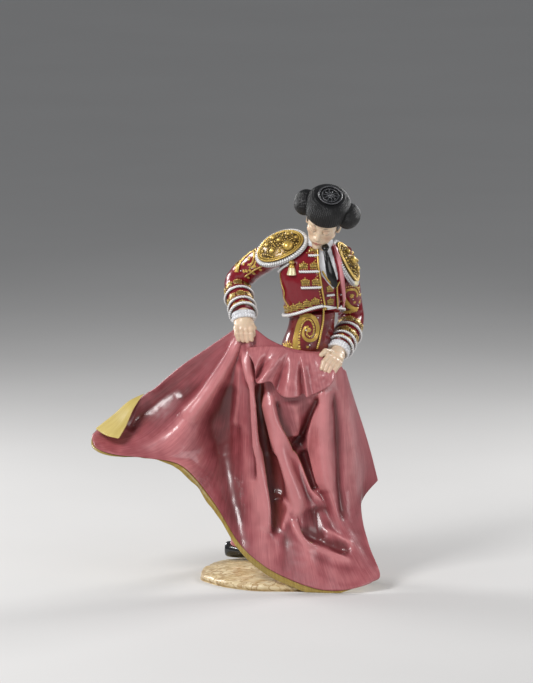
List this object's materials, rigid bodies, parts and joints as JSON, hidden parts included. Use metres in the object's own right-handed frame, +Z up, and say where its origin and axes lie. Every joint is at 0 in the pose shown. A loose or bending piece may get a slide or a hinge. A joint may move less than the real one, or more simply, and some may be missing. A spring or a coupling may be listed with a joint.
{
  "type": "souvenir figurine",
  "caption": "Glossy painted porcelain figurine of a bullfighter swinging a wide pink cape lined in yellow, on an oval cream base.",
  "frame": {"origin": "centre of the base's resting face", "axes": "+Z up, +X to the viewer's right as the figure is seen from the front, +Y away from the viewer; the base rests on the plane z = 0"},
  "size_m": [0.314, 0.1897, 0.4405],
  "materials": {
    "sand_glaze": "cream glaze with brown veins over a rough sand texture",
    "black_glaze": "glossy black glaze",
    "hat_glaze": "glossy black glaze over rows of fine raised beads",
    "silk_pink_glaze": "soft satin pink glaze",
    "cape_yellow_glaze": "semi-gloss yellow glaze with brush strokes",
    "cape_pink_glaze": "glossy pink glaze with dark brushed streaks in the folds",
    "bisque_skin": "satin flesh-coloured porcelain",
    "white_glaze": "glossy white glaze",
    "gold_lustre": "raised gold lustre with darker hollows",
    "maroon_glaze": "glossy maroon glaze"
  },
  "bodies": {
    "root": {"base": "sand_glaze", "right_shoe": "black_glaze", "left_shoe": "black_glaze", "shoe_bows": "black_glaze", "right_stocking": "silk_pink_glaze", "left_stocking": "silk_pink_glaze", "right_breeches_leg": "maroon_glaze", "left_breeches_leg": "maroon_glaze", "knee_tassels": "gold_lustre", "breeches_waist": "maroon_glaze", "breeches_scroll": "gold_lustre", "hip_scrolls": "gold_lustre", "breeches_piping": "gold_lustre", "waistcoat": "maroon_glaze", "waistcoat_braids": "white_glaze", "shirt_front": "white_glaze", "shirt_collar": "white_glaze", "necktie": "black_glaze", "jacket_body": "maroon_glaze", "jacket_crowns": "gold_lustre", "jacket_braids": "white_glaze", "jacket_edge_piping": "gold_lustre", "jacket_lapel": "silk_pink_glaze", "jacket_back_scrolls": "gold_lustre", "right_upper_sleeve": "maroon_glaze", "left_upper_sleeve": "maroon_glaze", "right_lower_sleeve": "maroon_glaze", "left_lower_sleeve": "maroon_glaze", "right_sleeve_scroll": "gold_lustre", "left_sleeve_scroll": "gold_lustre", "right_sleeve_bands": "white_glaze", "left_sleeve_bands": "white_glaze", "right_cuff": "white_glaze", "left_cuff": "white_glaze", "right_hand": "bisque_skin", "left_hand": "bisque_skin", "neck": "bisque_skin", "head": "bisque_skin", "hair": "black_glaze", "hair_bun": "black_glaze", "hat_crown": "hat_glaze", "hat_right_lobe": "hat_glaze", "hat_left_lobe": "hat_glaze", "hat_top_button": "hat_glaze", "right_epaulette": "gold_lustre", "left_epaulette": "gold_lustre", "right_epaulette_fringe": "white_glaze", "left_epaulette_fringe": "white_glaze", "right_epaulette_domes": "gold_lustre", "left_epaulette_domes": "gold_lustre", "right_tassel": "gold_lustre", "left_tassel": "gold_lustre", "cape_left_sweep": "cape_pink_glaze", "cape_centre": "cape_pink_glaze", "cape_right_fold": "cape_pink_glaze", "cape_collar": "cape_pink_glaze", "cape_corner_flap": "cape_yellow_glaze"}
  },
  "joints": []
}
